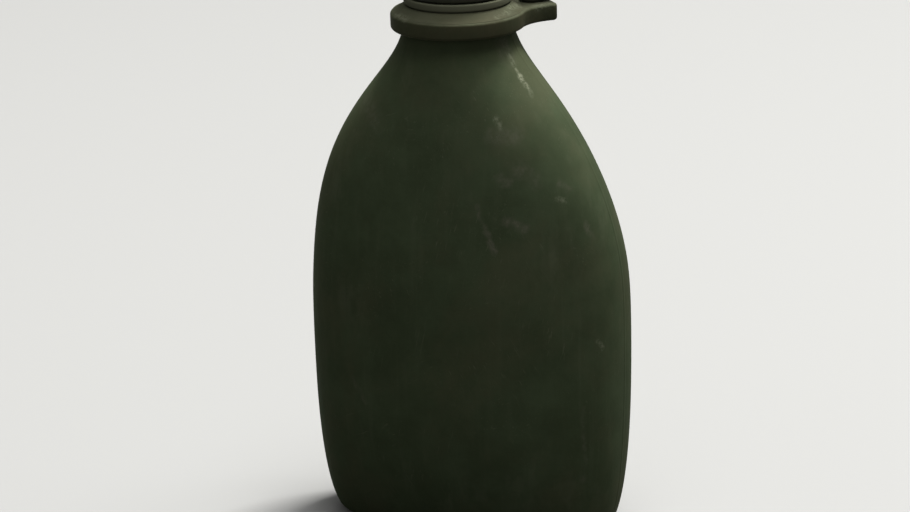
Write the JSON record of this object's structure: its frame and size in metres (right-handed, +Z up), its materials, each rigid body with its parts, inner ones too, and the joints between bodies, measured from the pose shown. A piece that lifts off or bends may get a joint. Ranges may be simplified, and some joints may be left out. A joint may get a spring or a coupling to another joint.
{
  "type": "canteen",
  "caption": "Kidney-shaped plastic water canteen with a screw cap held by a strap, which runs from the cap's crown to a lug on a loose ring round the neck.",
  "frame": {"origin": "on the plane that the foot stands on, under the axis of the neck, which is within 1.1 mm of the middle of the whole object's box", "axes": "+Z up along the neck; -Y out of the convex front; +Y out of the hollow back; +X to the right seen from the front"},
  "size_m": [0.121, 0.0664, 0.2268],
  "materials": {
    "olive_bottle": "satin, lightly scuffed",
    "dark_cap": "satin",
    "brown_stud": "satin",
    "gasket_rubber": "matte"
  },
  "bodies": {
    "bottle": {"bottle": "olive_bottle"},
    "ring": {"neck_ring": "olive_bottle", "strap_stud": "brown_stud", "tether_strap": "dark_cap"},
    "rivet": {"crown_rivet": "brown_stud"},
    "liner": {"cap_gasket": "gasket_rubber"},
    "cap": {"cap_shell": "dark_cap"}
  },
  "joints": [
    {"name": "neck_ring_swivel", "type": "hinge", "parent": "bottle", "child": "ring", "pos_m": [0, 0, 0.1945], "axis": [0, 0, 1], "continuous": true},
    {"name": "rivet_rise", "type": "slide", "parent": "ring", "child": "rivet", "axis": [0, 0, 1], "range_m": [0, 0.015], "deforming": ["tether_strap"]},
    {"name": "cap_rise", "type": "slide", "parent": "bottle", "child": "liner", "axis": [0, 0, 1], "range_m": [0, 0.015]},
    {"name": "cap_turn", "type": "hinge", "parent": "liner", "child": "cap", "pos_m": [0, 0, 0.213], "axis": [0, 0, 1], "range_deg": [0, 900]}
  ],
  "couplings": [
    {"joint": "cap_rise", "follows": "cap_turn", "m_per_rad": 0.000954},
    {"joint": "rivet_rise", "follows": "cap_turn", "m_per_rad": 0.000954}
  ]
}
